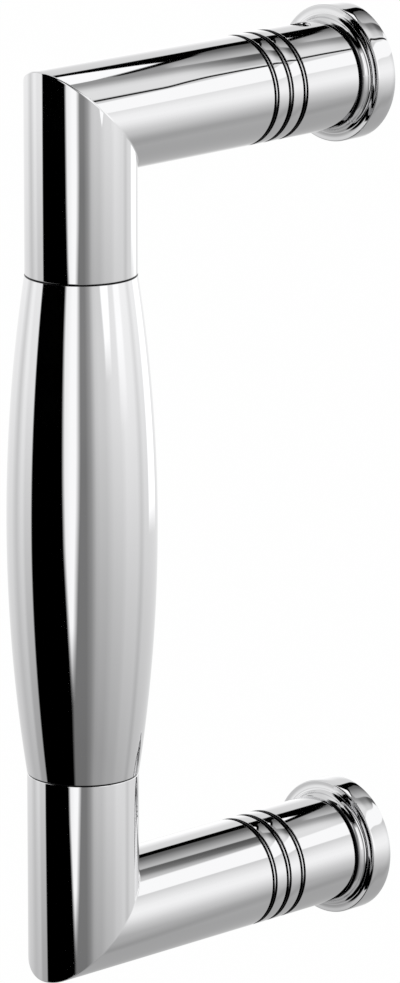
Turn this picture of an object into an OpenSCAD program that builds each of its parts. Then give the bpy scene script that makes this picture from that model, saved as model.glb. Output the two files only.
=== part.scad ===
// Door pull handle: a barrel grip between two mitred elbows, each locked on a post behind a round rose.
// The door's face is the plane y = 0, halfway between the two fixings is the origin,
// the grip stands up along z and the handle stands out from the door towards -y.

/* [Handle] */
// Distance between the two fixing centres
centre_dist = 204; // [180:1:300]
// From the door's face to the grip's centre line
projection = 93.7; // [80:0.1:120]
// Diameter of the elbows' legs and arms, and of the grip's ends
tube_d = 28; // [27:0.5:32]
// Round on the polished outer edges
edge_r = 0.3; // [0.1:0.05:0.4]

/* [Grip] */
// Length of the grip between its two seams
grip_len = 127.6; // [110:0.2:140]
// Diameter of the grip at its middle
grip_d = 37.6; // [33:0.2:44]

/* [Arm grooves] */
// Number of turned grooves on each arm
groove_count = 3; // [1:1:5]
// Distance from groove to groove
groove_pitch = 5.15; // [3:0.05:7]
// From the arm's end to the first groove's middle
groove_inset = 19.2; // [12:0.1:24]
// Width of a groove between its walls
groove_w = 1.3; // [0.8:0.1:1.8]
// Straight wall above a groove's round bottom
groove_wall = 0.3; // [0.2:0.05:1]

/* [Rose] */
// Diameter of the rose
rose_d = 35; // [34:0.5:44]
// Thickness of the rose's disc
rose_t = 6.4; // [5:0.1:9]
// Height of the neck in front of the disc
neck_h = 1.7; // [1.2:0.1:4]
// Hollow round between the neck and the disc
cove_r = 1.5; // [0.5:0.1:2]
// Open shadow gap between the neck and the arm's end
shadow_gap = 1.5; // [0.5:0.1:3]
// Diameter of the register that centres the arm on the rose
register_d = 23; // [21:0.5:24]
// How far the register reaches into the arm
register_in = 2; // [1:0.1:4]

/* [Mounting post] */
// Diameter of the post
post_d = 16; // [14:0.2:17]
// How far the post reaches into the arm
post_in = 22; // [16:0.5:30]
// Diameter of the post's foot behind the rose
foot_d = 22; // [19:0.2:25]
// Thickness of the post's foot
foot_t = 3; // [2:0.1:4]
// Thread diameter of the door bolt
bolt_d = 8; // [6:0.5:8]
// Depth of the door bolt's tapped hole
bolt_depth = 22; // [15:0.5:24]

/* [Grub screw] */
// Thread diameter of the grub screw
grub_d = 5; // [4:0.5:6]
// Length of the grub screw
grub_len = 6; // [5:0.1:7]
// From the arm's end to the grub screw
grub_inset = 7; // [5:0.1:9]
// How far the screw's point reaches into the post
grub_bite = 1; // [0.4:0.1:1.4]
// Width across the flats of the hexagon socket
socket_af = 2.5; // [2:0.1:3]
// Depth of the hexagon socket
socket_depth = 2.5; // [1:0.1:3]

/* [Grip joints] */
// Diameter of the threaded stud between grip and elbow
stud_d = 10; // [8:0.5:12]
// Length of the threaded stud
stud_len = 40; // [30:1:44]
// Diameter of the locating dowel
dowel_d = 3; // [2:0.5:4]
// Length of the locating dowel
dowel_len = 8; // [6:0.5:12]
// From the grip's centre line to the dowel
dowel_offset = 9.5; // [9:0.1:10]

/* [Fits] */
// Gap round a piece in its bore or thread
fit_gap = 0.1; // [0.05:0.01:0.2]
// Free depth past the end of a piece in a blind hole
end_gap = 0.3; // [0.1:0.1:0.5]

/* [Hidden] */
$fn = 72;
round_fn = 24;                                   // facets on the small rounds
arc_fn = 720;                                    // facets on the grip's long arc
over = 1;                                        // cutting tools run past a face by this much
tube_r = tube_d / 2;
leg_len = (centre_dist - grip_len) / 2;          // mitre centre to seam
neck_front = rose_t + neck_h;                    // door face to the front of the rose's neck
arm_gap = neck_front + shadow_gap;               // door face to the arm's end
arm_len = projection - arm_gap;                  // mitre centre to the arm's end
lip_r = min(edge_r, groove_wall);                // round on a groove's lips
groove_floor_r = post_d / 2 - grub_bite - fit_gap;
point_flat = 0.3;                                // radius of the flat on the grub screw's point
groove_flat = point_flat + fit_gap;              // half width of the post groove's floor
grub_tip_r = post_d / 2 - grub_bite;             // arm's centre line to the screw's point
chamfer = 0.8;                                   // lead on studs and posts
dowel_chamfer = 0.3;
chrome = [0.80, 0.81, 0.82];
bright_steel = [0.62, 0.63, 0.65];
dark_steel = [0.25, 0.25, 0.27];

// Barrel arc: it passes the grip's ends at tube_r and its middle at grip_d / 2
bulge = (grip_d - tube_d) / 2;
arc_r = (pow(grip_len / 2, 2) + pow(bulge, 2)) / (2 * bulge);
arc_x = grip_d / 2 - arc_r;
// Centre of the small round that touches the grip's end and crosses the arc by a hair
arc_crossing = 0.002;
end_z = grip_len / 2 - edge_r;
end_reach = arc_r - edge_r + arc_crossing;
end_x = arc_x + sqrt(pow(end_reach, 2) - pow(end_z, 2));
end_ray = [end_x - arc_x, end_z] / end_reach;

// Takes a profile's sharp corner down to a quarter round; turn 0 is a top right corner, 270 a bottom right
module corner_round(at, r, turn = 0) {
    translate(at) rotate(turn) translate([-r, -r]) difference() {
        square(r + over);
        circle(r, $fn = round_fn);
    }
}

// Bar with chamfered ends, centred on z
module chamfered_bar(d, length, lead) {
    rotate_extrude() polygon([
        [0, -length / 2], [d / 2 - lead, -length / 2], [d / 2, -length / 2 + lead],
        [d / 2, length / 2 - lead], [d / 2 - lead, length / 2], [0, length / 2]
    ]);
}

// Puts a shape drawn round the mitre's centre at the upper corner of the handle
module at_upper_corner() {
    translate([0, -projection, centre_dist / 2]) children();
}

// Puts a shape drawn on the door's face, standing up along z, at the upper fixing
module at_upper_fixing() {
    translate([0, 0, centre_dist / 2]) rotate([90, 0, 0]) children();
}

module below() {
    mirror([0, 0, 1]) children();
}

// Holes for the stud and the dowel, sunk downwards from a seam at z = 0
module seam_holes() {
    translate([0, 0, -stud_len / 2 - end_gap])
        cylinder(d = stud_d + 2 * fit_gap, h = stud_len / 2 + end_gap + over);
    translate([0, dowel_offset, -dowel_len / 2 - end_gap])
        cylinder(d = dowel_d + 2 * fit_gap, h = dowel_len / 2 + end_gap + over);
}

// Half outline of the barrel, with its two end edges rounded into the arc
module grip_outline() {
    difference() {
        intersection() {
            translate([arc_x, 0]) circle(arc_r, $fn = arc_fn);
            translate([0, -grip_len / 2]) square([grip_d, grip_len]);
        }
        for (side = [-1, 1]) translate([end_x, side * end_z]) difference() {
            polygon([[0, 0], [end_ray[0], side * end_ray[1]] * over, [over, side * over], [0, side * over]]);
            circle(edge_r, $fn = round_fn);
        }
    }
}

module grip() {
    color(chrome) translate([0, -projection, 0]) difference() {
        rotate_extrude() grip_outline();
        translate([0, 0, grip_len / 2]) seam_holes();
        below() translate([0, 0, grip_len / 2]) seam_holes();
    }
}

// One groove's section, its mouth on the line x = 0
module groove_section() {
    translate([-groove_wall, 0]) circle(d = groove_w, $fn = round_fn);
    translate([-groove_wall, -groove_w / 2]) square([groove_wall + over, groove_w]);
    corner_round([0, -groove_w / 2], lip_r);
    corner_round([0, groove_w / 2], lip_r, 270);
}

// Arm from the mitre's centre towards the door
module arm_bar() {
    rotate([-90, 0, 0]) rotate_extrude() difference() {
        square([tube_r, arm_len]);
        corner_round([tube_r, arm_len], edge_r);
        for (i = [0 : groove_count - 1])
            translate([tube_r, arm_len - groove_inset - i * groove_pitch]) groove_section();
    }
}

// Leg from the mitre's centre down to the seam
module leg_bar() {
    rotate_extrude() difference() {
        translate([0, -leg_len]) square([tube_r, leg_len]);
        corner_round([tube_r, -leg_len], edge_r, 270);
    }
}

// Outer corner: what two bars of the tube's diameter share where they cross gives the mitred edge
module mitre_corner() {
    intersection() {
        rotate([-90, 0, 0]) cylinder(r = tube_r, h = 2 * tube_d, center = true);
        cylinder(r = tube_r, h = 2 * tube_d, center = true);
    }
}

// Bore for the post, recess for the rose's register and tapped hole for the grub screw
module arm_bores() {
    bore_len = post_in + end_gap;
    recess_len = register_in + end_gap;
    rotate([-90, 0, 0]) {
        translate([0, 0, arm_len - bore_len]) cylinder(d = post_d + 2 * fit_gap, h = bore_len + over);
        translate([0, 0, arm_len - recess_len]) cylinder(d = register_d + 2 * fit_gap, h = recess_len + over);
    }
    translate([0, arm_len - grub_inset, 0]) cylinder(d = grub_d + 2 * fit_gap, h = tube_r + over);
}

module elbow() {
    color(chrome) difference() {
        union() {
            arm_bar();
            leg_bar();
            mitre_corner();
        }
        arm_bores();
        translate([0, 0, -leg_len]) rotate([180, 0, 0]) mirror([0, 1, 0]) seam_holes();
    }
}

module stud() {
    color(bright_steel) translate([0, -projection, grip_len / 2]) chamfered_bar(stud_d, stud_len, chamfer);
}

module dowel() {
    color(bright_steel) translate([0, dowel_offset - projection, grip_len / 2])
        chamfered_bar(dowel_d, dowel_len, dowel_chamfer);
}

// Disc, coved neck and register, bored for the post and recessed behind for the post's foot
module rose() {
    color(chrome) rotate_extrude() difference() {
        union() {
            difference() {
                square([rose_d / 2, rose_t]);
                corner_round([rose_d / 2, rose_t], edge_r);
                corner_round([rose_d / 2, 0], edge_r, 270);
            }
            difference() {
                square([tube_r, neck_front]);
                corner_round([tube_r, neck_front], lip_r);
            }
            translate([tube_r, rose_t]) difference() {
                square(cove_r);
                translate([cove_r, cove_r]) circle(cove_r, $fn = round_fn);
            }
            square([register_d / 2, arm_gap + register_in]);
        }
        translate([0, -over]) square([post_d / 2 + fit_gap, arm_gap + register_in + 2 * over]);
        translate([0, -over]) square([foot_d / 2 + fit_gap, foot_t + fit_gap + over]);
    }
}

// Shaft with a groove for the grub screw, a foot flush with the door and a tapped hole for the door bolt
module post() {
    post_len = arm_gap + post_in;
    groove_at = arm_gap + grub_inset;
    groove_half = groove_flat + post_d / 2 - groove_floor_r;
    color(bright_steel) rotate_extrude() difference() {
        union() {
            polygon([
                [0, 0], [post_d / 2, 0], [post_d / 2, post_len - chamfer],
                [post_d / 2 - chamfer, post_len], [0, post_len]
            ]);
            square([foot_d / 2, foot_t]);
        }
        polygon([
            [post_d / 2, groove_at - groove_half], [groove_floor_r, groove_at - groove_flat],
            [groove_floor_r, groove_at + groove_flat], [post_d / 2, groove_at + groove_half],
            [post_d / 2 + over, groove_at + groove_half], [post_d / 2 + over, groove_at - groove_half]
        ]);
        translate([0, -over]) square([bolt_d / 2, bolt_depth + over]);
    }
}

// Cone point down, hexagon socket up; it stands on the arm's centre line
module grub_screw() {
    cone_len = grub_d / 2 - point_flat;
    color(dark_steel) translate([0, arm_len - grub_inset, grub_tip_r]) difference() {
        rotate_extrude() polygon([
            [0, 0], [point_flat, 0], [grub_d / 2, cone_len],
            [grub_d / 2, grub_len - dowel_chamfer], [grub_d / 2 - dowel_chamfer, grub_len], [0, grub_len]
        ]);
        translate([0, 0, grub_len - socket_depth])
            cylinder(d = socket_af / cos(30), h = socket_depth + over, $fn = 6);
    }
}

grip();
at_upper_corner() elbow();  // upper_elbow
below() at_upper_corner() elbow();  // lower_elbow
stud();  // upper_stud
below() stud();  // lower_stud
dowel();  // upper_dowel
below() dowel();  // lower_dowel
at_upper_fixing() rose();  // upper_rose
below() at_upper_fixing() rose();  // lower_rose
at_upper_fixing() post();  // upper_post
below() at_upper_fixing() post();  // lower_post
at_upper_corner() grub_screw();  // upper_grub_screw
below() at_upper_corner() grub_screw();  // lower_grub_screw
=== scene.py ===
import math
import bpy
import numpy as np
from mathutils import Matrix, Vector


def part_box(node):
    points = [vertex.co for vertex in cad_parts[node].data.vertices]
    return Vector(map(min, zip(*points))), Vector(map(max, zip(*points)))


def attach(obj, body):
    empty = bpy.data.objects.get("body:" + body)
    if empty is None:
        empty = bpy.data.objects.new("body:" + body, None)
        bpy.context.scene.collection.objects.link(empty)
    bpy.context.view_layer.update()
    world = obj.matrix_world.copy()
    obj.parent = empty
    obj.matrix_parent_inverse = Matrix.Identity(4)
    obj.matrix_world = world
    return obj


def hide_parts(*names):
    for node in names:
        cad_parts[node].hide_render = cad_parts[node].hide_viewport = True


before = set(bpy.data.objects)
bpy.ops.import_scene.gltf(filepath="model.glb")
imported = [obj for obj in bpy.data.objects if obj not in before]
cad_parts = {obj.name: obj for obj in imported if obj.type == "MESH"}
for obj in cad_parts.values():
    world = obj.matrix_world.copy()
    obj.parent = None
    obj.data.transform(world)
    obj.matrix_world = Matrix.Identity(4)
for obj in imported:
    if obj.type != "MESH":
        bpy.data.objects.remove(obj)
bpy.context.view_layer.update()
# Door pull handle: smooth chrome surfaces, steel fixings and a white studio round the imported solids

mm = 0.001
gripLow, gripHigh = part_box("grip")
elbowLow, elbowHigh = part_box("upper_elbow")
roseLow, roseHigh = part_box("upper_rose")
tubeR = (elbowHigh[0] - elbowLow[0]) / 2
gripR = (gripHigh[0] - gripLow[0]) / 2
gripAxis = (gripLow[1] + gripHigh[1]) / 2       # y of the grip's centre line
seamZ = gripHigh[2]                             # half the grip's length
cornerZ = elbowHigh[2] - tubeR                  # height of the arm's centre line
armLen = elbowHigh[1] - gripAxis                # mitre centre to the arm's end
legLen = cornerZ - seamZ                        # mitre centre to the seam
edgeR = 0.3 * mm                                # round on the polished outer edges
edgeRows = 6                                    # steps round such an edge
threadRows = 10                                 # rows of points to one pitch of a thread
samePoint = 1e-9                                # a row no wider than this is a pole
takeIn = 1.01                                   # widens a limit a little, so that it takes in its own border
xAxis, yAxis, zAxis = np.eye(3)


# Profiles are runs of points (radius, height), each with its normal, travelled with the metal on the left

def straight(*corners):
    # The corners joined by straight steps; the normal of a step (dr, dh) is (dh, -dr) over its length
    ends = np.array(corners, float)
    steps = np.diff(ends, axis=0)
    normals = np.stack([steps[:, 1], -steps[:, 0]], 1) / np.hypot(*steps.T)[:, None]
    return [(ends[i:i + 2], np.stack([n, n])) for i, n in enumerate(normals)]


def even(start, end, count):
    # One straight step cut into equal rows: start + t (end - start)
    (points, normals), = straight(start, end)
    return [(np.linspace(points[0], points[1], count + 1), np.repeat(normals[:1], count + 1, 0))]


def arc(centre, radius, start, end, steps):
    # centre + radius (cos t, sin t), t in degrees; the normal is (cos t, sin t) where t grows,
    # and points to the centre where t falls, because the metal is then outside the circle
    turn = np.radians(np.linspace(start, end, steps + 1))
    ray = np.stack([np.cos(turn), np.sin(turn)], 1)
    return [(np.array(centre) + radius * ray, ray * math.copysign(1, end - start))]


def spun(runs, place, cols):
    # radius (cos a u + sin a v) + height w, with place = (origin, u, v, w); normals follow the same way
    origin, u, v, w = place
    angle = np.linspace(0, 2 * np.pi, cols, endpoint=False)[:, None]
    ray = np.cos(angle) * u + np.sin(angle) * v
    return [(origin + p[:, 0, None, None] * ray + p[:, 1, None, None] * w,
             n[:, 0, None, None] * ray + n[:, 1, None, None] * w) for p, n in runs]


def threaded(radius, start, end, pitch, depth, place, cols):
    # radius - depth (1 - cos(2 pi height / pitch - a)) / 2, faded in and out over one pitch. The normal is
    # the slope of that height field, turned to the axis where the height falls, as in a hole's wall
    origin, u, v, w = place
    rows = max(2, int(round(abs(end - start) / pitch * threadRows)))
    height = np.linspace(start, end, rows + 1)[:, None]
    angle = np.linspace(0, 2 * np.pi, cols, endpoint=False)[None, :]
    phase = 2 * np.pi * height / pitch - angle
    fade = np.clip(np.minimum(abs(height - start), abs(height - end)) / pitch, 0, 1)
    reach = radius - depth * fade * (1 - np.cos(phase)) / 2
    slope = -depth * fade * np.sin(phase) / 2
    ray = np.cos(angle)[..., None] * u + np.sin(angle)[..., None] * v
    side = np.cos(angle)[..., None] * v - np.sin(angle)[..., None] * u
    points = origin + reach[..., None] * ray + height[..., None] * w
    normals = ray - (slope * 2 * np.pi / pitch)[..., None] * w + (slope / reach)[..., None] * side
    normals /= np.linalg.norm(normals, axis=2, keepdims=True)
    return [(points, normals * math.copysign(1, end - start))]


def stacked(runs):
    # Rows of points, and the normals that each step between two rows starts and ends with
    points = np.concatenate([runs[0][0][:1]] + [p[1:] for p, n in runs])
    return points, np.concatenate([n[:-1] for p, n in runs]), np.concatenate([n[1:] for p, n in runs])


def cells(index, low, high):
    # Quads (k, j), (k, j + 1), (k + 1, j + 1), (k + 1, j) of a grid closed round j; a pole's quad is a
    # triangle that names its last corner twice
    faces = np.stack([index[:-1], np.roll(index[:-1], -1, 1), np.roll(index[1:], -1, 1), index[1:]], 2)
    normals = np.stack([low, np.roll(low, -1, 1), np.roll(high, -1, 1), high], 2)
    pole = faces[:, :, 0] == faces[:, :, 1]
    faces[pole] = np.roll(faces[pole], 2, 1)
    normals[pole] = np.roll(normals[pole], 2, 1)
    return faces, normals


def rowIndex(points, first=0, ring=False):
    # Each point's own number; a row at one point shares one number, and a ring's last row is its first
    index = first + np.arange(points.shape[0] * points.shape[1]).reshape(points.shape[:2])
    poles = np.ptp(points, axis=1).max(1) < samePoint
    index[poles] = index[poles][:, :1]
    if ring:
        index[-1] = index[0]
    return index


def newObject(name, data):
    # An object at the origin, unturned and unscaled, linked into the scene
    thing = bpy.data.objects.new(name, data)
    bpy.context.scene.collection.objects.link(thing)
    return thing


def addShares(mesh, key, values):
    # One number for each point, which a material reads by its name
    attribute = mesh.attributes.new(key, "FLOAT", "POINT")
    attribute.data.foreach_set("value", values.astype(np.float32).reshape(-1))


def newPiece(name, points, faces, normals, node, turned=False, shadeShare=None):
    # Mesh of the faces used, with one normal for each face corner; turned is half a turn about y, and the
    # shade share gives each point's share of painted shade, a dark colour laid where shade falls
    shares = None if shadeShare is None else shadeShare(points)
    if turned:
        points, normals = points * [-1, 1, -1], normals * [-1, 1, -1]
    used, faces = np.unique(faces, return_inverse=True)
    faces = faces.reshape(-1, 4)
    keep = np.ones(faces.shape, bool)
    keep[:, 3] = faces[:, 3] != faces[:, 2]
    counts = keep.sum(1)
    mesh = bpy.data.meshes.new(name)
    mesh.vertices.add(len(used))
    mesh.vertices.foreach_set("co", points[used].astype(np.float32).reshape(-1))
    mesh.loops.add(int(counts.sum()))
    mesh.loops.foreach_set("vertex_index", faces[keep].astype(np.int32))
    mesh.polygons.add(len(faces))
    mesh.polygons.foreach_set("loop_start", (np.cumsum(counts) - counts).astype(np.int32))
    mesh.update(calc_edges=True)
    mesh.polygons.foreach_set("use_smooth", np.ones(len(faces), bool))
    cornerNormals = normals.reshape(-1, 4, 3)[keep]
    mesh.normals_split_custom_set(cornerNormals / np.linalg.norm(cornerNormals, axis=1, keepdims=True))
    if shadeShare is not None:
        addShares(mesh, "shadeShare", shares[used])
    piece = newObject(name, mesh)
    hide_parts(node)
    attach(piece, "root")
    return piece


def turnedPiece(name, runs, node, turned=False, ring=False, shadeShare=None):
    # A piece that is one stack of rows
    points, low, high = stacked(runs)
    faces, normals = cells(rowIndex(points, 0, ring), low, high)
    return newPiece(name, points.reshape(-1, 3), faces.reshape(-1, 4), normals.reshape(-1, 4, 3), node,
                    turned, shadeShare)


# Grip

grip = {
    "cols": 224, "rows": 96, "studHoleR": 5.1 * mm, "studHoleDepth": 20.3 * mm,
    # an end's round, and its share of painted shade in the seam: start - rise * depth under the end's plane /
    # round, from 0 to 1
    "endRound": 0.42 * mm, "endRows": 8, "shadeShareStart": 5, "shadeShareRise": 6
}


def gripPaintedShade(points):
    # Painted shade in the seams: 0 on the barrel, 1 over most of the rounds of its two ends
    height = (abs(points[:, 2]) - seamZ) / grip["endRound"]
    return np.clip(height * grip["shadeShareRise"] + grip["shadeShareStart"], 0, 1)


def makeGrip(g):
    # The barrel is an arc of radius R = (h^2 + b^2) / 2b, h half the length and b the bulge; each end is
    # rounded where the arc, drawn in by the round, meets the round's own level
    bulge, edge = gripR - tubeR, g["endRound"]
    arcR = (seamZ ** 2 + bulge ** 2) / (2 * bulge)
    arcX = gripR - arcR
    endTurn = math.degrees(math.asin((seamZ - edge) / (arcR - edge)))
    endX = arcX + (arcR - edge) * math.cos(math.radians(endTurn))
    hole, deep = g["studHoleR"], seamZ - g["studHoleDepth"]
    runs = straight((0, -deep), (hole, -deep), (hole, -seamZ), (endX, -seamZ))
    runs += arc((endX, edge - seamZ), edge, -90, -endTurn, g["endRows"])
    runs += arc((arcX, 0), arcR, -endTurn, endTurn, g["rows"])
    runs += arc((endX, seamZ - edge), edge, endTurn, 90, g["endRows"])
    runs += straight((endX, seamZ), (hole, seamZ), (hole, deep), (0, deep))
    place = (np.array([0, gripAxis, 0]), xAxis, yAxis, zAxis)
    return turnedPiece("grip_chrome", spun(runs, place, g["cols"]), "grip", shadeShare=gripPaintedShade)


# Elbows

elbow = {
    "cols": 192, "creaseR": 0.4 * mm, "creaseRows": 8,
    "grooveCount": 3, "groovePitch": 5.15 * mm, "grooveInset": 19.2 * mm,
    "grooveR": 0.98 * mm, "grooveLip": 0.1 * mm, "lipRows": 5, "floorRows": 12,
    "beadR": 0.22 * mm, "beadDepth": 0.06 * mm, "beadShift": 0.14 * mm, "beadRows": 12,
    # where shade is painted: below this depth, and on a bead beyond these degrees round the two flanks
    "shadeShareDepth": 0.13 * mm, "shadeShareFade": 0.08 * mm, "flankAt": 22, "flankReach": 20, "flankFade": 12,
    "recessR": 11.6 * mm, "recessDepth": 2.3 * mm, "boreR": 8.1 * mm, "boreDepth": 22.3 * mm,
    "grubInset": 7 * mm, "grubHoleR": 2.6 * mm, "grubLip": 0.2 * mm, "grubFree": 1.2 * mm,
    "threadPitch": 0.8 * mm, "threadDepth": 0.4 * mm, "threadFade": 0.3 * mm,
    "window": 5 * mm, "windowRows": 22, "patchRows": 6, "grubLipRows": 4, "wallRows": 60, "innerRows": 2,
    "edgeLean": 2.4, "mitreLean": 5.5       # degrees
}


def legPoint(radius, height, angle):
    # Leg: radius (cos a, sin a) across, height up z, from the mitre's centre
    return np.stack(np.broadcast_arrays(radius * np.cos(angle), radius * np.sin(angle), height), -1)


def armPoint(radius, height, angle):
    # Arm: the same section laid over the mitre plane y = -z, so a column of the leg runs on in the arm
    return np.stack(np.broadcast_arrays(radius * np.cos(angle), height, -radius * np.sin(angle)), -1)


def creaseRuns(e, angle):
    # With s = -r sin a, the leg's line y = -s and the arm's line z = s meet in a quarter round of radius c:
    # (r cos a, -s + c (1 - sin t), s - c (1 - cos t)), t from 90 to 0 degrees
    turn = np.radians(np.linspace(90, 0, e["creaseRows"] + 1))[:, None]
    s, c = -tubeR * np.sin(angle), e["creaseR"]
    flat = np.zeros_like(turn)
    points = np.stack([tubeR * np.cos(angle) + flat, c * (1 - np.sin(turn)) - s,
                       s - c * (1 - np.cos(turn))], -1)
    normals = np.stack([np.cos(angle) * (np.sin(turn) + np.cos(turn)), np.sin(angle) * np.sin(turn),
                        -np.sin(angle) * np.cos(turn)], -1)
    return [(points, normals / np.linalg.norm(normals, axis=2, keepdims=True))]


def land(heights, leans):
    # Skin of the bar between two edges. The buffing wheel rolls a skin over towards its edges, by less than
    # the eye finds in the outline, so its normals lean along the bar, evenly from the one end's degrees to
    # the other's
    heights = np.array(heights)
    lean = np.radians(np.interp(heights, heights[[0, -1]], leans))
    return [(np.stack([np.full(len(heights), tubeR), heights], 1), np.stack([np.cos(lean), np.sin(lean)], 1))]


def leaned(normals, axis, degrees):
    # normal cos t + axis sin t
    turn = np.radians(degrees)
    return normals * np.cos(turn) + axis * np.sin(turn)


def grooveRuns(e, middle):
    # A half-round groove with a fine bead along its floor, from below its middle to above it: lip, floor, the
    # bead's side, its round top, its other side, floor and lip
    half, lip, beadR = e["grooveR"], e["grooveLip"], e["beadR"]
    low, high = e["beadShift"] - beadR, e["beadShift"] + beadR
    foot, rise = [180 - math.degrees(math.asin(side / (half - lip))) for side in (low, high)]
    top = tubeR - e["beadDepth"] - beadR
    runs = arc((tubeR - lip, middle - half), lip, 0, 90, e["lipRows"])
    runs += arc((tubeR - lip, middle), half - lip, 270, foot, e["floorRows"])
    runs += straight(runs[-1][0][-1], (top, middle + low))
    runs += arc((top, middle + e["beadShift"]), beadR, -90, 90, e["beadRows"])
    floor = arc((tubeR - lip, middle), half - lip, rise, 90, e["floorRows"])
    runs += straight((top, middle + high), floor[0][0][0]) + floor
    runs += arc((tubeR - lip, middle + half), lip, -90, 0, e["lipRows"])
    return runs


def groovePaintedShade(points):
    # Painted shade down beside the beads: 0 at the shade depth under the skin, 1 a fade below it,
    # and on a bead the same from half its radius under its top. The painted shade leaves the beads bright
    # only on the arm's two
    # flanks: on a bead the share grows from 0 at the flank's reach to 1 a flank's fade further round
    e = elbow
    last = gripAxis + armLen - e["grooveInset"]
    turns = np.clip(np.round((last - points[:, 1]) / e["groovePitch"]), 0, e["grooveCount"] - 1)
    across = points[:, 1] - last + turns * e["groovePitch"]
    depth = tubeR - np.hypot(points[:, 0], points[:, 2] - cornerZ)
    onBead = abs(across - e["beadShift"]) < takeIn * e["beadR"]
    start = np.where(onBead, e["beadDepth"] + e["beadR"] / 2, e["shadeShareDepth"])
    bearing = np.degrees(np.arctan2(points[:, 2] - cornerZ, points[:, 0]))
    offFlank = abs((bearing - e["flankAt"] + 90) % 180 - 90) - e["flankReach"]
    deep = np.maximum((depth - start) / e["shadeShareFade"], onBead * offFlank / e["flankFade"])
    return (abs(across) < takeIn * e["grooveR"]) * (depth > e["beadDepth"] / 2) * np.clip(deep, 0, 1)


def windowLoop(index, rowA, rowB, colA, colB):
    # The border of a window in the grid, once round: along rowA, up colB, back along rowB, down colA
    rows = np.arange(rowA, rowB, int(math.copysign(1, rowB - rowA)))
    cols = np.arange(colA, colB)
    return np.concatenate([index[rowA, colA:colB], index[rows, colB], index[rowB, cols + 1][::-1],
                           index[rows + (rows[1] - rows[0]), colA][::-1]])


def makeElbow(e, name, node, turned):
    # One grid whose columns run up the leg, over the mitre and along the arm into its bore. At the grub screw
    # its cells are left out of the arm's skin and of the bore's wall, and the hole's rows join the borders
    cols = e["cols"]
    angle = np.linspace(0, 2 * np.pi, cols, endpoint=False)
    hole, deep = grip["studHoleR"], grip["studHoleDepth"] - legLen
    legRuns = straight((0, deep), (hole, deep), (hole, -legLen), (tubeR - edgeR, -legLen))
    legRuns += arc((tubeR - edgeR, edgeR - legLen), edgeR, -90, 0, edgeRows)
    first = armLen - e["grooveInset"] - (e["grooveCount"] - 1) * e["groovePitch"]
    grub, reach = armLen - e["grubInset"], e["window"]
    boreReach = reach * e["boreR"] / tubeR
    grooves = [grooveRuns(e, first + i * e["groovePitch"]) for i in range(e["grooveCount"])]
    armRuns = grooves[0]
    for groove in grooves[1:]:
        ends = [armRuns[-1][0][-1][1], groove[0][0][0][1]]
        armRuns = armRuns + land(ends, [-e["edgeLean"], e["edgeLean"]]) + groove
    landStart, landEnd = armRuns[-1][0][-1][1], armLen - edgeR
    levels = [landStart, *np.linspace(grub - reach, grub + reach, e["windowRows"] + 1), landEnd]
    armRuns = armRuns + land(levels, [-e["edgeLean"], 0])
    armRuns += arc((tubeR - edgeR, armLen - edgeR), edgeR, 0, 90, edgeRows)
    shelf = armLen - e["recessDepth"]
    armRuns += straight((tubeR - edgeR, armLen), (e["recessR"], armLen), (e["recessR"], shelf),
                        (e["boreR"], shelf), (e["boreR"], grub + boreReach))
    armRuns += even((e["boreR"], grub + boreReach), (e["boreR"], grub - boreReach), e["windowRows"])
    bottom = armLen - e["boreDepth"]
    armRuns += straight((e["boreR"], grub - boreReach), (e["boreR"], bottom), (0, bottom))
    centre = np.array([0, gripAxis, cornerZ])
    leg = [(legPoint(p[:, :1], p[:, 1:], angle), legPoint(n[:, :1], n[:, 1:], angle)) for p, n in legRuns]
    arm = [(armPoint(p[:, :1], p[:, 1:], angle), armPoint(n[:, :1], n[:, 1:], angle)) for p, n in armRuns]
    crease = creaseRuns(e, angle)
    # a long skin runs from the seam to the mitre, and one from the mitre to the first groove: they lean to
    # the outside of the corner where it is raised, and back from it on the inside
    across = -np.sin(angle)[:, None]
    mitre = np.where(across > 0, e["mitreLean"], -e["edgeLean"]) * np.sqrt(abs(across))
    legSkin = np.stack([leaned(leg[-1][1][-1], zAxis, -e["edgeLean"]), leaned(leg[-1][1][-1], zAxis, mitre)])
    armSkin = np.stack([leaned(armPoint(1, 0, angle), yAxis, -mitre),
                        leaned(armPoint(1, 0, angle), yAxis, e["edgeLean"])])
    runs = leg + [(np.stack([leg[-1][0][-1], crease[0][0][0]]), legSkin)] + crease
    runs += [(np.stack([crease[-1][0][-1], arm[0][0][0]]), armSkin)] + arm
    points, low, high = stacked(runs)
    index = rowIndex(points)
    faces, normals = cells(index, low, high)
    # the grub screw's windows, in the arm's skin and in the bore's wall, round the column along the arm's top
    middle, half = cols * 3 // 4, int(round(math.asin(reach / tubeR) / (2 * np.pi) * cols))
    heights, radii = points[:, middle, 1], points[:, middle, 2]
    skinRow = int(np.argmin(abs(heights - grub + reach) + abs(radii - tubeR)))
    boreRow = int(np.argmin(abs(heights - grub - boreReach) + abs(radii - e["boreR"])))
    count = e["windowRows"]
    kept = np.ones(faces.shape[:2], bool)
    kept[skinRow:skinRow + count, middle - half:middle + half] = False
    kept[boreRow:boreRow + count, middle - half:middle + half] = False
    flat = points.reshape(-1, 3)
    skinLoop = windowLoop(index, skinRow, skinRow + count, middle - half, middle + half)
    boreLoop = windowLoop(index, boreRow + count, boreRow, middle - half, middle + half)
    drilled = drilledRuns(e, flat[skinLoop], flat[boreLoop], grub, (landStart, landEnd))
    holePoints, holeLow, holeHigh = stacked(drilled)
    holeIndex = rowIndex(holePoints, len(flat))
    holeIndex[0], holeIndex[-1] = skinLoop, boreLoop
    holeFaces, holeNormals = cells(holeIndex, holeLow, holeHigh)
    allPoints = np.concatenate([flat, holePoints.reshape(-1, 3)]) + centre
    allFaces = np.concatenate([faces[kept], holeFaces.reshape(-1, 4)])
    allNormals = np.concatenate([normals[kept], holeNormals.reshape(-1, 4, 3)])
    return newPiece(name, allPoints, allFaces, allNormals, node, turned, groovePaintedShade)


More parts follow.
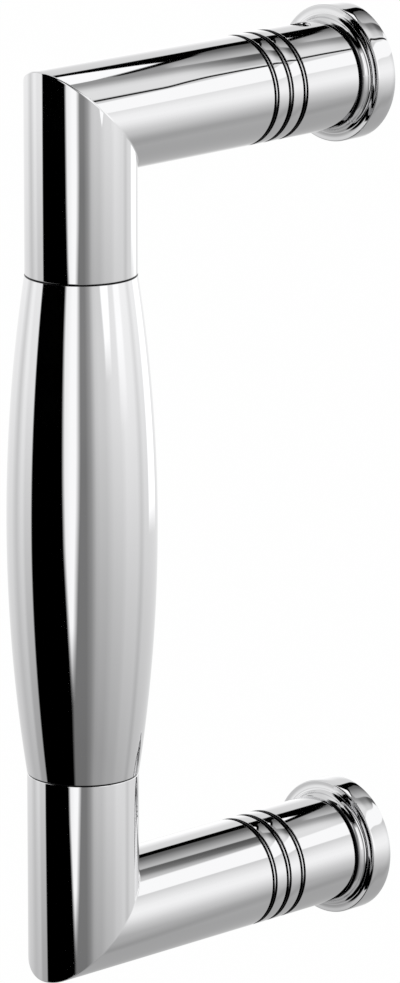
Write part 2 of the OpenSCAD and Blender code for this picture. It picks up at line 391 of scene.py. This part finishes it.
def onBar(xy, radius):
    # The point of a bar's skin above (x, y): z = sqrt(r^2 - x^2)
    return np.concatenate([xy, np.sqrt(radius ** 2 - xy[..., :1] ** 2)], -1)


def drilledRuns(e, skinEdge, boreEdge, grub, landEnds):
    # From the window's border the rows close in on the hole's rim, turn over its lip, go down its threaded
    # wall and open out again in the bore
    axis = np.array([0, grub])
    offset = skinEdge[:, :2] - axis
    ray = offset / np.linalg.norm(offset, axis=1, keepdims=True)
    holeR, lip = e["grubHoleR"], e["grubLip"]
    blend = np.linspace(0, 1, e["patchRows"] + 1)[:, None, None]
    rim = axis + (holeR + lip) * ray
    patch = onBar(skinEdge[:, :2] * (1 - blend) + rim * blend, tubeR)
    patchLean = np.interp(patch[..., 1:2], landEnds, [-e["edgeLean"], 0])
    patchNormals = leaned(patch * [1, 0, 1] / tubeR, yAxis, patchLean)
    turn = np.radians(np.linspace(0, 90, e["grubLipRows"] + 1))[:, None, None]
    wall = np.concatenate([-ray, np.zeros((len(ray), 1))], 1)
    lipXY = axis + (holeR + lip * (1 - np.sin(turn))) * ray
    lipZ = patch[-1][:, 2:] - lip * (1 - np.cos(turn))
    lipPoints = np.concatenate([lipXY, lipZ], 2)
    lipNormals = patchNormals[-1] * np.cos(turn) + wall * np.sin(turn)
    # thread: radius - depth (1 - cos(2 pi z / pitch - a)) / 2, fading out near the hole's mouth
    top, foot = lipPoints[-1][:, 2:], onBar(axis + holeR * ray, e["boreR"])[:, 2:]
    down = np.linspace(0, 1, e["wallRows"] + 1)[:, None, None]
    level = top + (foot - top) * down
    phase = 2 * np.pi * level / e["threadPitch"] - np.arctan2(ray[:, 1:], ray[:, :1])
    fade = np.clip((top - level) / e["threadFade"], 0, 1)
    fade = fade * np.clip((level - tubeR + e["grubFree"]) / e["threadFade"], 0, 1)
    depth = e["threadDepth"] * fade
    wallXY = axis + (holeR - depth * (1 - np.cos(phase)) / 2) * ray
    wallPoints = np.concatenate([wallXY, level], 2)
    wallNormals = wall - zAxis * depth * np.sin(phase) * np.pi / e["threadPitch"]
    out = np.linspace(0, 1, e["innerRows"] + 1)[:, None, None]
    inner = onBar(wallXY[-1] * (1 - out) + boreEdge[:, :2] * out, e["boreR"])
    innerNormals = -inner * [1, 0, 1] / e["boreR"]
    pairs = [(patch, patchNormals), (lipPoints, lipNormals), (wallPoints, wallNormals), (inner, innerNormals)]
    return [(p, n / np.linalg.norm(n, axis=2, keepdims=True)) for p, n in pairs]


# Roses

rose = {
    "cols": 224, "registerR": 11.5 * mm, "registerTop": 11.6 * mm, "boreR": 8.1 * mm,
    "discT": 6.4 * mm, "coveAt": 15.5 * mm, "coveR": 1.2 * mm, "coveRows": 20,
    "neckR": 1.8 * mm, "neckRows": 24, "ogeeTurn": 75,
    # the face's radii from the rim inwards, and how far the wheel has rolled it over to the outside at each
    "faceAt": [17.2 * mm, 16.6 * mm, 16.3 * mm, 16 * mm, 15.7 * mm, 15.5 * mm],
    "faceLean": [0, 0, 4, 8.5, 10.5, 7],
    "rimLean": 7, "rimRows": 12,
    # above which level shade is painted in the shadow gap, and from how many degrees off its top and its
    # underside
    "gapLevel": 8.05 * mm, "gapFade": 0.15 * mm, "gapOpen": 10, "gapTurn": 8,
    "recessR": 11.1 * mm, "recessDepth": 3.1 * mm
}


def fixingPlace():
    # The upper fixing's axis stands out of the door along -y
    return np.array([0, 0, cornerZ]), xAxis, zAxis, -yAxis


def rosePaintedShade(points):
    # Painted shade in the shadow gap, left out at its top and its underside. The share grows from 0 at the
    # gap's level to 1 a fade above it, times 0 at the open degrees off the top to 1 a turn further round
    r = rose
    offTop = abs(np.degrees(np.arctan2(points[:, 2] - cornerZ, points[:, 0])) % 180 - 90)
    return (np.clip((-points[:, 1] - r["gapLevel"]) / r["gapFade"], 0, 1)
            * np.clip((offTop - r["gapOpen"]) / r["gapTurn"], 0, 1))


def makeRose(r, name, node, turned):
    # The cove turns up out of the disc's face through the ogee's angle, and the neck's round turns back from
    # it. The rim is straight, and its normals lean by its degrees times the cube of the way from its middle
    discR = (roseHigh[0] - roseLow[0]) / 2
    cove, neckR, turn = r["coveR"], r["neckR"], math.radians(r["ogeeTurn"])
    coveH = r["discT"] + cove
    neck = (r["coveAt"] - (cove + neckR) * math.sin(turn), coveH - (cove + neckR) * math.cos(turn))
    front = neck[1] + neckR
    runs = straight((r["recessR"], 0), (discR - edgeR, 0))
    runs += arc((discR - edgeR, edgeR), edgeR, -90, 0, edgeRows)
    across = np.linspace(-1, 1, r["rimRows"] + 1)
    rim = r["discT"] / 2 + across * (r["discT"] / 2 - edgeR)
    crown = np.radians(r["rimLean"]) * across ** 3
    runs += [(np.stack([np.full(len(rim), discR), rim], 1), np.stack([np.cos(crown), np.sin(crown)], 1))]
    runs += arc((discR - edgeR, r["discT"] - edgeR), edgeR, 0, 90, edgeRows)
    lean = np.radians(r["faceLean"])
    face = np.stack([r["faceAt"], np.full(len(lean), r["discT"])], 1)
    runs += [(face, np.stack([np.sin(lean), np.cos(lean)], 1))]
    runs += arc((r["coveAt"], coveH), cove, 270, 270 - r["ogeeTurn"], r["coveRows"])
    runs += arc(neck, neckR, 90 - r["ogeeTurn"], 90, r["neckRows"])
    runs += straight((neck[0], front), (r["registerR"], front), (r["registerR"], r["registerTop"]),
                     (r["boreR"], r["registerTop"]), (r["boreR"], r["recessDepth"]),
                     (r["recessR"], r["recessDepth"]), (r["recessR"], 0))
    return turnedPiece(name, spun(runs, fixingPlace(), r["cols"]), node, turned, ring=True, shadeShare=rosePaintedShade)


# Posts, studs, dowels and grub screws

post = {
    "cols": 96, "shaftR": 8 * mm, "length": 31.6 * mm, "lead": 0.8 * mm, "footR": 11 * mm, "footT": 3 * mm,
    "threadR": 4 * mm, "threadDepth": 0.65 * mm, "threadPitch": 1.25 * mm, "holeDepth": 22 * mm,
    "grooveAt": 16.6 * mm, "grooveFloorR": 6.9 * mm, "grooveFlat": 0.4 * mm,
    "mouth": 0.4 * mm, "edge": 0.2 * mm
}


def makePost(p, name, node, turned):
    # Turned on the fixing's axis: up the tapped hole from its floor, over the foot, and along the shaft with
    # its V groove to the chamfered end
    place = fixingPlace()
    shaft, floor, flat, at = p["shaftR"], p["grooveFloorR"], p["grooveFlat"], p["grooveAt"]
    half, edge, thread = flat + shaft - floor, p["edge"], p["threadR"]
    runs = spun(straight((0, p["holeDepth"]), (thread, p["holeDepth"])), place, p["cols"])
    runs += threaded(thread, p["holeDepth"], p["mouth"], p["threadPitch"], p["threadDepth"], place, p["cols"])
    outside = straight((thread, p["mouth"]), (thread + p["mouth"], 0), (p["footR"] - edge, 0),
                       (p["footR"], edge), (p["footR"], p["footT"] - edge), (p["footR"] - edge, p["footT"]),
                       (shaft, p["footT"]), (shaft, at - half), (floor, at - flat), (floor, at + flat),
                       (shaft, at + half), (shaft, p["length"] - p["lead"]),
                       (shaft - p["lead"], p["length"]), (0, p["length"]))
    return turnedPiece(name, runs + spun(outside, place, p["cols"]), node, turned)


stud = {"cols": 48, "radius": 5 * mm, "half": 20 * mm, "lead": 0.8 * mm, "pitch": 1.5 * mm, "depth": 0.8 * mm}
dowel = {"cols": 32, "radius": 1.5 * mm, "half": 4 * mm, "lead": 0.3 * mm, "offset": 9.5 * mm}


def makeStud(s, name, node, turned):
    # A rod threaded from end to end with chamfered ends, half of it in the grip and half in the elbow's leg
    place = (np.array([0, gripAxis, seamZ]), xAxis, yAxis, zAxis)
    r, h, lead = s["radius"], s["half"], s["lead"]
    runs = spun(straight((0, -h), (r - lead, -h), (r, lead - h)), place, s["cols"])
    runs += threaded(r, lead - h, h - lead, s["pitch"], s["depth"], place, s["cols"])
    runs += spun(straight((r, h - lead), (r - lead, h), (0, h)), place, s["cols"])
    return turnedPiece(name, runs, node, turned)


def makeDowel(d, name, node, turned):
    # A plain pin with chamfered ends, beside the stud
    place = (np.array([0, gripAxis + d["offset"], seamZ]), xAxis, yAxis, zAxis)
    r, h, lead = d["radius"], d["half"], d["lead"]
    runs = straight((0, -h), (r - lead, -h), (r, lead - h), (r, h - lead), (r - lead, h), (0, h))
    return turnedPiece(name, spun(runs, place, d["cols"]), node, turned)


grubScrew = {
    "cols": 72, "tip": 7 * mm, "point": 0.3 * mm, "radius": 2.5 * mm, "length": 6 * mm, "lead": 0.3 * mm,
    "pitch": 0.8 * mm, "depth": 0.4 * mm, "socket": 2.5 * mm, "socketDepth": 2.5 * mm, "socketLead": 0.2 * mm,
    # parts (inward, up) of the normals on the socket's chamfered mouth and on its coned floor
    "mouthSlope": (0.6, 0.8), "floorSlope": (0.45, 0.9)
}


def makeGrubScrew(g, name, node, turned):
    # Turned from its cone point up to its head. The socket's rows are a hexagon: half the width across flats
    # over cos(a mod 60 degrees - 30 degrees)
    place = (np.array([0, gripAxis + armLen - elbow["grubInset"], cornerZ]), xAxis, yAxis, zAxis)
    r, foot, top = g["radius"], g["tip"], g["tip"] + g["length"]
    cone, lead = foot + r - g["point"], g["lead"]
    runs = spun(straight((0, foot), (g["point"], foot), (r, cone)), place, g["cols"])
    runs += threaded(r, cone, top - lead, g["pitch"], g["depth"], place, g["cols"])
    mouth = g["socket"] / 2 / math.cos(math.radians(30)) + g["socketLead"]
    runs += spun(straight((r, top - lead), (r - lead, top), (mouth, top)), place, g["cols"])
    angle = np.linspace(0, 2 * np.pi, g["cols"], endpoint=False)
    flats = g["socket"] / 2 / np.cos(angle % (np.pi / 3) - np.pi / 6)
    facing = np.floor(angle / (np.pi / 3)) * np.pi / 3 + np.pi / 6
    ray = np.stack([np.cos(angle), np.sin(angle), 0 * angle], 1)
    inward = -np.stack([np.cos(facing), np.sin(facing), 0 * facing], 1)
    hexagon = place[0] + flats[:, None] * ray
    bottom = top - g["socketDepth"]
    levels = [runs[-1][0][-1], hexagon + (top - g["socketLead"]) * zAxis, hexagon + bottom * zAxis,
              np.repeat(place[0][None] + (bottom - g["socket"] / 4) * zAxis, g["cols"], 0)]
    (mouthIn, mouthUp), (floorIn, floorUp) = g["mouthSlope"], g["floorSlope"]
    slopes = [inward * mouthIn + zAxis * mouthUp, inward, inward * floorIn + zAxis * floorUp]
    runs += [(np.stack([a, b]), np.stack([n, n])) for a, b, n in zip(levels[:-1], levels[1:], slopes)]
    return turnedPiece(name, runs, node, turned)


print("pieces")
chromePieces = [makeGrip(grip)]
steelPieces, blackPieces = [], []
for side, turned in [("upper", False), ("lower", True)]:
    chromePieces.append(makeElbow(elbow, side + "_elbow_chrome", side + "_elbow", turned))
    chromePieces.append(makeRose(rose, side + "_rose_chrome", side + "_rose", turned))
    steelPieces.append(makePost(post, side + "_post_steel", side + "_post", turned))
    steelPieces.append(makeStud(stud, side + "_stud_steel", side + "_stud", turned))
    steelPieces.append(makeDowel(dowel, side + "_dowel_steel", side + "_dowel", turned))
    blackPieces.append(makeGrubScrew(grubScrew, side + "_grub_screw_black", side + "_grub_screw", turned))


# Finishes

def toLinear(code):
    # Each sRGB channel c of a hex colour becomes c / 12.92 up to 0.04045, and above it
    # ((c + 0.055) / 1.055) ^ 2.4
    channels = np.array([int(code[i:i + 2], 16) for i in (1, 3, 5)]) / 255
    linear = np.where(channels <= 0.04045, channels / 12.92, ((channels + 0.055) / 1.055) ** 2.4)
    return tuple(linear) + (1.0,)


def addNode(tree, kind, settings=None, **sockets):
    # Adds one node, sets its properties, then its input sockets by name, or by number after an underscore: a
    # value is set, and another node's output is linked
    node = tree.nodes.new(kind)
    for key, value in (settings or {}).items():
        setattr(node, key, value)
    for key, value in sockets.items():
        name = key[1:] if key.startswith("_") else key.replace("_", " ")
        target = node.inputs[int(name)] if name.isdigit() else node.inputs[name]
        if isinstance(value, bpy.types.NodeSocket):
            tree.links.new(value, target)
        else:
            target.default_value = value
    return node


def newMaterial(name):
    # An empty node material, and its tree
    material = bpy.data.materials.new(name)
    material.use_nodes = True
    material.node_tree.nodes.clear()
    return material, material.node_tree


finish = {
    # a roughness is the middle of its clouds, and the haze, bloom and spread are how wide they run round it
    "chrome": "#DBDBDC", "chromeRough": 0.03, "hazeRough": 0.02, "hazeSize": 10 * mm,
    # painted shade: the dark colour and roughness laid where shade falls in grooves, seams and shadow gaps
    "shadeTone": "#18181A", "shadeToneRough": 0.3,
    "waveSize": 14 * mm, "waveHeight": 0.0015 * mm,
    "zinc": "#B9BBBE", "zincRough": 0.28, "zincBloom": 0.1, "bloomSize": 2 * mm,
    "turning": 0.6 * mm, "turningHeight": 0.01 * mm,
    "oxide": "#2B2C2E", "oxideRough": 0.38, "oxideSpread": 0.16, "oxideGrain": 0.4 * mm
}


def cloudy(tree, place, size, middle, width):
    # Noise with clouds of a real size. It lies mostly between 0.35 and 0.65, and there the result runs from
    # middle - width / 2 to middle + width / 2
    noise = addNode(tree, "ShaderNodeTexNoise", None, Vector=place, Scale=1 / size, Detail=3.0).outputs["Fac"]
    return addNode(tree, "ShaderNodeMapRange", None, Value=noise, From_Min=0.35, From_Max=0.65,
                   To_Min=middle - width / 2, To_Max=middle + width / 2).outputs["Result"]


def polishedChromePlate(f):
    # Bright chromium over buffed brass: a mirror with a breath of buffing haze, and the long low waves that a
    # soft wheel leaves, which only bend a straight reflection a little. Down in the grooves, the seams and
    # the shadow gaps the shade share paints shade: a dark, rougher colour where shade falls
    material, tree = newMaterial("polished_chrome_plate")
    place = addNode(tree, "ShaderNodeTexCoord").outputs["Object"]
    haze = cloudy(tree, place, f["hazeSize"], f["chromeRough"], f["hazeRough"])
    wave = addNode(tree, "ShaderNodeTexNoise", None, Vector=place, Scale=1 / f["waveSize"], Detail=0.0)
    bump = addNode(tree, "ShaderNodeBump", None, Height=wave.outputs["Fac"], Distance=f["waveHeight"],
                   Strength=1.0)
    shadeShare = addNode(tree, "ShaderNodeAttribute", {"attribute_name": "shadeShare"}).outputs["Fac"]
    # the shade share mixes painted shade into the colour and the roughness
    colour = addNode(tree, "ShaderNodeMix", {"data_type": "RGBA"}, _0=shadeShare, _6=toLinear(f["chrome"]),
                     _7=toLinear(f["shadeTone"])).outputs[2]
    rough = addNode(tree, "ShaderNodeMix", None, _0=shadeShare, _2=haze, _3=f["shadeToneRough"]).outputs[0]
    shader = addNode(tree, "ShaderNodeBsdfPrincipled", None, Base_Color=colour, Metallic=1.0, Roughness=rough,
                     Normal=bump.outputs["Normal"])
    addNode(tree, "ShaderNodeOutputMaterial", None, Surface=shader.outputs["BSDF"])
    return material


def zincPlatedSteel(f):
    # Bright zinc on turned steel: pale metal with a cloudy bloom, and the rings that the facing tool left
    # round each fixing's axis, drawn coarser than real so that they show
    material, tree = newMaterial("zinc_plated_turned_steel")
    place = addNode(tree, "ShaderNodeTexCoord").outputs["Object"]
    bloom = cloudy(tree, place, f["bloomSize"], f["zincRough"], f["zincBloom"])
    part = addNode(tree, "ShaderNodeSeparateXYZ", None, Vector=place).outputs
    level = addNode(tree, "ShaderNodeMath", {"operation": "ABSOLUTE"}, _0=part["Z"]).outputs[0]
    above = addNode(tree, "ShaderNodeMath", {"operation": "SUBTRACT"}, _0=level, _1=float(cornerZ)).outputs[0]
    centred = addNode(tree, "ShaderNodeCombineXYZ", None, X=part["X"], Y=part["Y"], Z=above).outputs[0]
    # at a scale of 1 the texture's rings are 2 pi / 20 of a metre apart
    rings = addNode(tree, "ShaderNodeTexWave", {"wave_type": "RINGS", "rings_direction": "Y"}, Vector=centred,
                    Scale=2 * math.pi / 20 / f["turning"]).outputs["Fac"]
    bump = addNode(tree, "ShaderNodeBump", None, Height=rings, Distance=f["turningHeight"], Strength=1.0)
    shader = addNode(tree, "ShaderNodeBsdfPrincipled", None, Base_Color=toLinear(f["zinc"]), Metallic=1.0,
                     Roughness=bloom, Normal=bump.outputs["Normal"])
    addNode(tree, "ShaderNodeOutputMaterial", None, Surface=shader.outputs["BSDF"])
    return material


def blackOxideSteel(f):
    # Hardened steel blackened in a hot salt bath: a dark, slightly oily sheen with a fine grain
    material, tree = newMaterial("black_oxide_steel")
    place = addNode(tree, "ShaderNodeTexCoord").outputs["Object"]
    grain = cloudy(tree, place, f["oxideGrain"], f["oxideRough"], f["oxideSpread"])
    shader = addNode(tree, "ShaderNodeBsdfPrincipled", None, Base_Color=toLinear(f["oxide"]), Metallic=1.0,
                     Roughness=grain)
    addNode(tree, "ShaderNodeOutputMaterial", None, Surface=shader.outputs["BSDF"])
    return material


print("finishes")
for pieces, material, slot in [(chromePieces, polishedChromePlate(finish), "chrome"),
                               (steelPieces, zincPlatedSteel(finish), "bright_steel"),
                               (blackPieces, blackOxideSteel(finish), "dark_steel")]:
    for piece in pieces:
        piece.data.materials.append(material)


# Studio

studio = {
    "floorDrop": 3.0, "floorHalf": 60.0, "floorTone": "#FCFCFC", "floorLift": 0.85,
    "middle": (0, -0.05, 0), "lamp": 1.43,
    # how bright the pale sweep looks in the metal: (sine of the elevation, part of the lamp)
    "sweep": [(-1.0, 0.34), (-0.72, 0.34), (-0.5, 0.4), (-0.41, 0.485), (-0.31, 0.575), (-0.2, 0.7),
              (-0.1, 0.81), (0.0, 0.87), (0.12, 0.85), (0.25, 0.75), (0.36, 0.64), (0.7, 0.6), (1.0, 0.7)]
}


def metalRays(tree, path):
    # 1 for glossy and transmission rays, by which the metal sees the studio, and 0 for all others
    return addNode(tree, "ShaderNodeMath", {"operation": "MAXIMUM"}, _0=path["Is Glossy Ray"],
                   _1=path["Is Transmission Ray"]).outputs[0]


def makeFloor(s):
    # A square of pale paper under the object: lit as it is written, and lifted to white where it is seen
    half, z = s["floorHalf"], -float(elbowHigh[2]) - s["floorDrop"]
    mesh = bpy.data.meshes.new("studio_floor")
    corners = [(-half, -half, z), (half, -half, z), (half, half, z), (-half, half, z)]
    mesh.from_pydata(corners, [], [(0, 1, 2, 3)])
    floor = newObject("studio_floor", mesh)
    material, tree = newMaterial("pale_studio_paper")
    paper = addNode(tree, "ShaderNodeBsdfDiffuse", None, Color=toLinear(s["floorTone"]))
    path = addNode(tree, "ShaderNodeLightPath").outputs
    seen = addNode(tree, "ShaderNodeMath", {"operation": "MAXIMUM"}, _0=path["Is Camera Ray"],
                   _1=metalRays(tree, path)).outputs[0]
    lift = addNode(tree, "ShaderNodeEmission", None, Color=(1, 1, 1, 1), Strength=seen)
    both = addNode(tree, "ShaderNodeMixShader", None, _0=s["floorLift"], _1=paper.outputs[0],
                   _2=lift.outputs[0])
    addNode(tree, "ShaderNodeOutputMaterial", None, Surface=both.outputs[0])
    floor.data.materials.append(material)
    floor.visible_glossy = False        # the metal sees the sweep's own falling light instead


def makeWorld(s):
    # White for the camera, plain white light for the object, and the sweep's tone by height for the metal
    world = bpy.data.worlds.new("studio_light")
    bpy.context.scene.world = world
    world.use_nodes = True
    tree = world.node_tree
    tree.nodes.clear()
    place = addNode(tree, "ShaderNodeTexCoord").outputs["Generated"]
    height = addNode(tree, "ShaderNodeSeparateXYZ", None, Vector=place).outputs["Z"]
    share = addNode(tree, "ShaderNodeMapRange", None, Value=height, From_Min=-1.0, From_Max=1.0)
    ramp = addNode(tree, "ShaderNodeValToRGB", None, Fac=share.outputs["Result"])
    stops = ramp.color_ramp.elements
    while len(stops) < len(s["sweep"]):
        stops.new(0.5)
    for stop, (sine, tone) in zip(stops, s["sweep"]):
        stop.position = (sine + 1) / 2
        stop.color = (tone, tone, tone, 1)
    path = addNode(tree, "ShaderNodeLightPath").outputs
    plain = addNode(tree, "ShaderNodeBackground", None, Color=(1, 1, 1, 1), Strength=1.0)
    sweep = addNode(tree, "ShaderNodeBackground", None, Color=ramp.outputs["Color"], Strength=s["lamp"])
    both = addNode(tree, "ShaderNodeMixShader", None, _0=metalRays(tree, path), _1=plain.outputs[0],
                   _2=sweep.outputs[0])
    addNode(tree, "ShaderNodeOutputWorld", None, Surface=both.outputs[0])


# Each card is a patch of a sphere round the handle, seen by the metal alone. Its rows are (latitude, first
# longitude, last longitude) in degrees, and soft is how far it thins out at its first and last longitude and
# at its first and last latitude. Its tones (1 is the lamp) and its cover (how solid it is) go by longitude,
# and fade thins it by latitude. "up": longitude from -y towards +x, latitude above the horizon. "back":
# longitude from +x over the top, latitude towards the door, for what the two arms see. Its grid has a step
# of cell degrees and at least so many rows, and its corners and tones are eased over the bend
plainCard = {
    "middle": studio["middle"], "tones": [(0, 0)], "cover": [(0, 1)], "fade": [(0, 1)],
    "cell": 0.5, "least": 8, "bend": 0.8
}
cards = {
    "black_flag_front": {
        "turn": "up", "distance": 8.0, "soft": (2.5, 5, 3, 3),
        "rows": [(-75, -39, 31), (-27, -39, 31), (-21, -39, 26.5), (-15, -39, 21.5), (-10, -38.5, 19.8),
                 (0, -37.6, 18.2), (10, -37.6, 18.2), (80, -37.6, 18.2)]
    },
    "black_flag_above": {
        "turn": "up", "distance": 7.9, "soft": (4, 10, 8, 1), "rows": [(40, -45, 130), (84, -45, 130)]
    },
    "white_panel_front": {
        "turn": "up", "distance": 8.2, "soft": (2.5, 7.5, 6, 3), "tones": [(20, 0.83), (29, 0.93)],
        "rows": [(-27, 10, 33), (-21, 10, 38), (-12, 10, 43), (-8, 10, 44), (40, 10, 44)]
    },
    "grey_flag_right": {
        "turn": "up", "distance": 8.5, "soft": (1, 4, 3, 3),
        "cover": [(52, 0.77), (60, 0.63), (68, 0.33), (74, 0.275), (84, 0.275), (96, 0.14), (110, 0.11),
                  (120, 0)],
        "fade": [(-30, 0.8), (-9, 1)], "rows": [(-60, 24, 120), (60, 24, 120)]
    },
    "lamp_right": {
        "turn": "up", "distance": 7.8, "soft": (2.5, 2.5, 3, 2), "tones": [(0, 1)],
        "rows": [(-3, 86, 99), (0, 85.5, 99.5), (4, 81.5, 101), (20, 79, 104), (40, 79, 104)]
    },
    "lamp_far_right": {
        "turn": "up", "distance": 7.9, "soft": (4, 4, 6, 2), "tones": [(0, 0.97)],
        "rows": [(-7.5, 109, 127), (40, 109, 127)]
    },
    "grey_strip_behind": {
        "turn": "up", "distance": 8.6, "soft": (8, 8, 3, 3), "cover": [(0, 0.15)],
        "rows": [(-60, 140, 158), (30, 140, 158)]
    },
    "strip_behind": {
        "turn": "up", "distance": 8.4, "soft": (1.5, 1, 1, 1), "tones": [(0, 1)],
        "rows": [(-14.5, 168.2, 196), (12, 168.2, 198)]
    },
    "grey_flag_left": {
        "turn": "up", "distance": 8.5, "soft": (14, 11, 3, 3), "cover": [(0, 0.24)],
        "fade": [(-30, 0.2), (-24, 0.35), (-9, 1)], "rows": [(-60, -89, -61), (30, -89, -61)]
    },
    "grey_edge_left": {
        "turn": "up", "distance": 8.3, "soft": (6, 1, 3, 3), "cover": [(0, 0.25)],
        "fade": [(-24, 1), (-18, 0.7), (-6, 0.36)], "rows": [(-60, -57, -35), (30, -57, -35)]
    },
    "panel_behind_right": {
        "turn": "up", "distance": 1.6, "soft": (3, 3, 1.2, 1.2), "tones": [(0, 0.93)],
        "rows": [(18.8, 108, 170), (36.4, 108, 170)]
    },
    "white_slip_right": {
        "turn": "up", "distance": 0.16, "middle": (0, -0.1, 0.1), "soft": (0.8, 0.8, 0.8, 0.3),
        "tones": [(0, 0.97)],
        "rows": [(-4.6, 89.4, 90.6), (-3.4, 87.6, 92), (-2.3, 85.6, 93.7), (-1.2, 84, 95.5)]
    },
    "ceiling_behind": {
        "turn": "back", "distance": 9.0, "soft": (2, 2, 3, 3),
        "tones": [(66, 0.72), (72, 0.645), (78, 0.44), (84, 0.29), (90, 0.27)],
        "rows": [(28, 50, 126), (36, 50, 126), (45, 52, 132), (55, 54, 138), (75, 54, 140)]
    },
    "ceiling_fall_behind": {
        "turn": "back", "distance": 8.95, "soft": (1, 2, 1, 3),
        "tones": [(93, 0.46), (102, 0.31), (114, 0.13), (120, 0.1)],
        "rows": [(41, 89, 126), (60, 89, 126)]
    },
    "dark_flag_behind": {
        "turn": "back", "distance": 8.9, "soft": (3, 1, 0.1, 3),
        "cover": [(63, 0.28), (69, 0.4), (76, 0.73), (88, 0.7)],
        "fade": [(42.5, 0), (47, 1)], "rows": [(42, 60, 89), (60, 60, 89)]
    },
    "black_flag_behind": {
        "turn": "back", "distance": 8.8, "soft": (1.5, 1.5, 3, 3),
        "rows": [(30, 112, 126.3), (38, 112, 126.3), (41, 105, 128.5), (42.5, 103, 130), (43.5, 114, 131.3),
                 (45, 121, 133.8), (47, 121.3, 136.3), (60, 124, 142)]
    },
    "wedge_behind": {
        "turn": "back", "distance": 8.7, "soft": (1, 1, 3, 0.6), "tones": [(0, 0.95)],
        "rows": [(28, 88, 118), (36, 91, 118), (38, 96.5, 115), (39, 99, 113.5), (40, 103, 112.5),
                 (41.5, 108, 109)]
    },
    "black_line_behind": {
        "turn": "back", "distance": 8.6, "soft": (1.5, 1, 0.6, 0.6),
        "rows": [(37.2, 90.5, 92.5), (38, 91, 96), (39, 93, 99), (40, 95.5, 102.5), (41, 99.5, 107),
                 (42, 102.5, 112), (43, 107, 116), (44, 113, 122)]
    },
    "black_line_above": {
        "turn": "back", "distance": 0.3, "middle": (0, -0.05, 0.102), "soft": (1.5, 1.5, 1, 3),
        "rows": [(23, 43, 48), (36, 45, 50), (38, 48, 53), (41, 51, 56), (45, 52, 57), (60, 52, 57)]
    }
}


def eased(at, knots, reach):
    # Straight lines between the knots, averaged at nine places from value - reach to value + reach, so that
    # their corners are rounded
    x, y = np.array(knots, float).T
    return np.mean([np.interp(at + k * reach, x, y) for k in np.linspace(-1, 1, 9)], axis=0)


def makeCard(name, c, material):
    # middle + distance (cos lat (cos lon u + sin lon v) + sin lat w). Each point carries its tone, and its
    # cover, which falls to nothing over the soft degrees inside the card's borders
    cell, least, bend = c["cell"], c["least"], c["bend"]
    first, last = np.array(c["rows"], float)[[0, -1], 0]
    widest = max(r[2] - r[1] for r in c["rows"])
    latitude = np.linspace(first, last, int((last - first) / cell) + least)[:, None]
    left = eased(latitude, [(r[0], r[1]) for r in c["rows"]], bend)
    right = eased(latitude, [(r[0], r[2]) for r in c["rows"]], bend)
    longitude = left + (right - left) * np.linspace(0, 1, int(widest / cell) + least)
    u, v, w = (-yAxis, xAxis, zAxis) if c["turn"] == "up" else (xAxis, zAxis, yAxis)
    lon, lat = np.radians(longitude)[..., None], np.radians(latitude)[..., None]
    ray = np.cos(lat) * (np.cos(lon) * u + np.sin(lon) * v) + np.sin(lat) * w
    points = np.array(c["middle"]) + c["distance"] * ray
    edges = [longitude - left, right - longitude, latitude - first, last - latitude]
    cover = eased(longitude, c["cover"], bend) * eased(latitude, c["fade"], bend)
    for edge, soft in zip(edges, c["soft"]):
        cover = cover * np.clip(edge / soft, 0, 1)
    tone = eased(longitude, c["tones"], bend)
    index = np.arange(longitude.size).reshape(longitude.shape)
    faces = np.stack([index[:-1, :-1], index[:-1, 1:], index[1:, 1:], index[1:, :-1]], 2).reshape(-1, 4)
    mesh = bpy.data.meshes.new(name)
    mesh.from_pydata(points.reshape(-1, 3), [], faces.tolist())
    addShares(mesh, "tone", tone)
    addShares(mesh, "cover", cover)
    mesh.materials.append(material)
    card = newObject(name, mesh)
    card.visible_camera = card.visible_diffuse = card.visible_shadow = card.visible_transmission = False


def cardPaper(s):
    # Card and lamp cloth: the tone it carries, and clear where its soft edge has thinned out
    material, tree = newMaterial("studio_card")
    tone = addNode(tree, "ShaderNodeAttribute", {"attribute_name": "tone"}).outputs["Fac"]
    cover = addNode(tree, "ShaderNodeAttribute", {"attribute_name": "cover"}).outputs["Fac"]
    bright = addNode(tree, "ShaderNodeMath", {"operation": "MULTIPLY"}, _0=tone, _1=s["lamp"]).outputs[0]
    paper = addNode(tree, "ShaderNodeEmission", None, Color=(1, 1, 1, 1), Strength=bright)
    clear = addNode(tree, "ShaderNodeBsdfTransparent")
    both = addNode(tree, "ShaderNodeMixShader", None, _0=cover, _1=clear.outputs[0], _2=paper.outputs[0])
    addNode(tree, "ShaderNodeOutputMaterial", None, Surface=both.outputs[0])
    material.cycles.emission_sampling = "NONE"
    return material


# the photograph's camera, in degrees, metres, and millimetres of lens and film
view = {
    "azimuth": 45.0, "elevation": 14.1007, "place": (1.3027, -1.3550, 0.4638), "lens": 276.08, "film": 36.0,
    "clipEnd": 200.0
}


def makeCamera(v):
    # A camera looks straight down until it is turned: up by 90 degrees less the elevation, then round by the
    # azimuth
    camera = newObject("photo_camera", bpy.data.cameras.new("photo_camera"))
    camera.data.sensor_fit = "VERTICAL"
    camera.data.sensor_height = v["film"]
    camera.data.lens = v["lens"]
    camera.data.clip_end = v["clipEnd"]
    camera.location = v["place"]
    camera.rotation_euler = (math.radians(90 - v["elevation"]), 0, math.radians(v["azimuth"]))
    bpy.context.scene.camera = camera


print("studio")
makeFloor(studio)
makeWorld(studio)
paper = cardPaper(studio)
for name, card in cards.items():
    makeCard(name, plainCard | card, paper)
makeCamera(view)
bpy.context.scene.view_settings.view_transform = "Standard"
